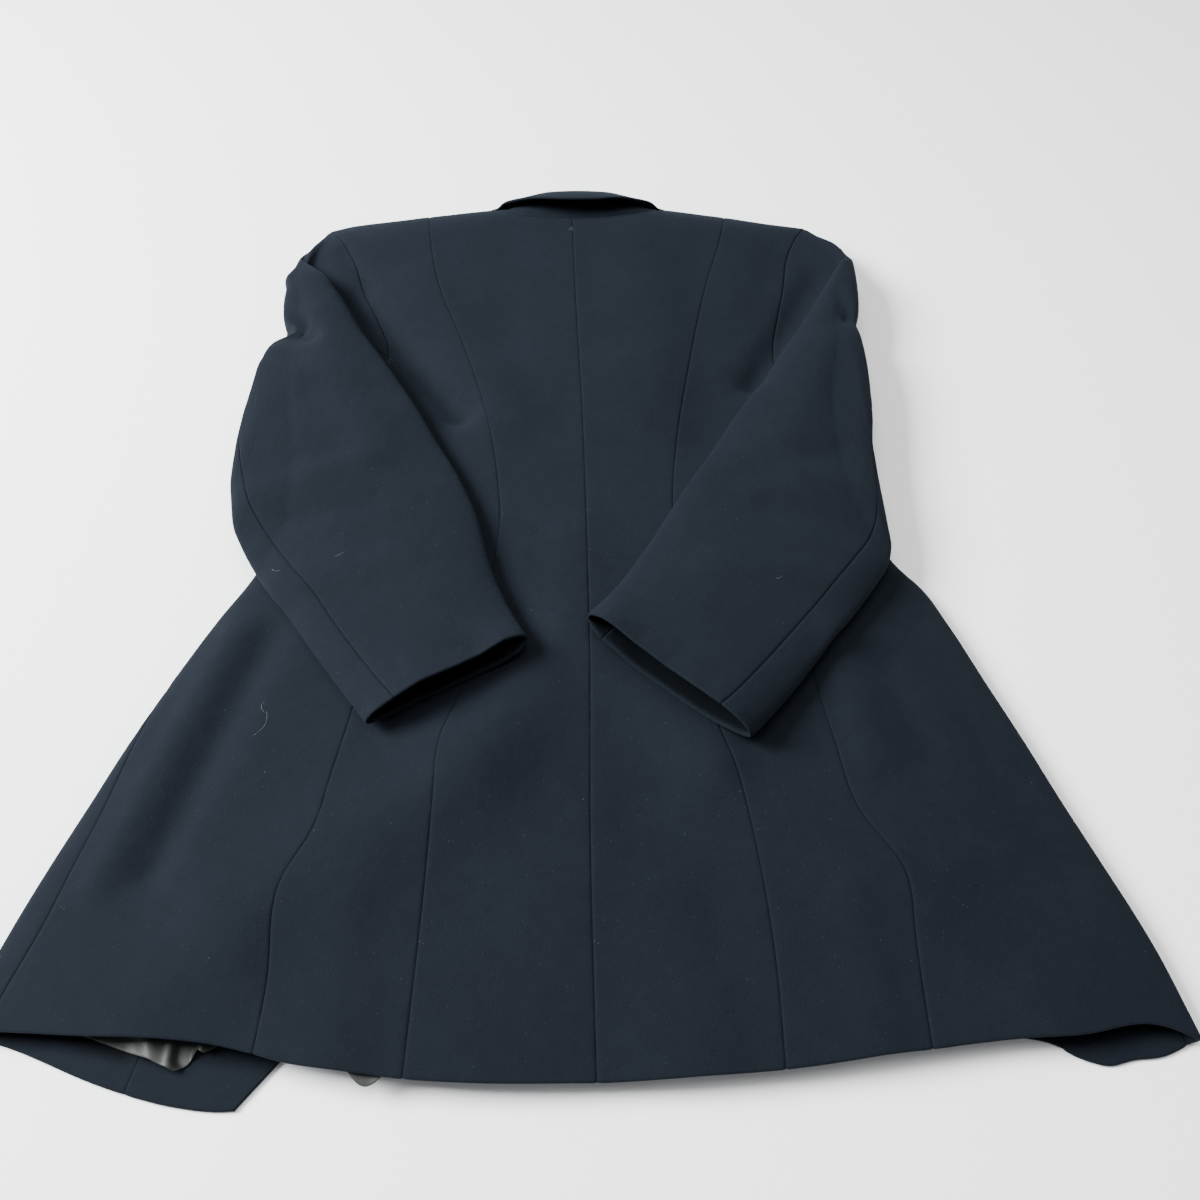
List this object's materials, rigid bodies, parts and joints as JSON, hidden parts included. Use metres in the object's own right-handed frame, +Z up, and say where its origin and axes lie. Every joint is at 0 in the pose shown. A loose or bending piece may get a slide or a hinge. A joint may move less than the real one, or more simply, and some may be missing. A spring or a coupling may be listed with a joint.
{
  "type": "double-breasted blazer",
  "caption": "Dark navy wool double-breasted blazer, laid face down with both sleeves folded over its back, collar up and hem spread.",
  "frame": {"origin": "centre of the blazer's bounding box in plan, on the surface it lies on", "axes": "+Z up from the surface to the back of the garment, +Y from the hem to the collar, -X towards the wearer's left side"},
  "size_m": [0.6762, 0.7606, 0.0613],
  "materials": {
    "wool_cloth": "matte fine crepe-woven wool, dark navy slate",
    "satin_lining": "smooth grey-olive satin",
    "button_horn": "semi-gloss dark horn imitation"
  },
  "bodies": {
    "root": {"back_left": "wool_cloth", "back_right": "wool_cloth", "side_back_left": "wool_cloth", "side_back_right": "wool_cloth", "side_left": "wool_cloth", "side_right": "wool_cloth", "front_side_left": "wool_cloth", "front_side_right": "wool_cloth", "front_left": "wool_cloth", "front_right": "wool_cloth", "lapel_left": "wool_cloth", "lapel_right": "wool_cloth", "collar_stand": "wool_cloth", "collar_fall": "wool_cloth", "sleeve_top_left": "wool_cloth", "sleeve_top_right": "wool_cloth", "sleeve_under_left": "wool_cloth", "sleeve_under_right": "wool_cloth", "lining_front_left": "satin_lining", "lining_back": "satin_lining", "button_1": "button_horn", "button_2": "button_horn", "button_3": "button_horn", "button_4": "button_horn"}
  },
  "joints": []
}
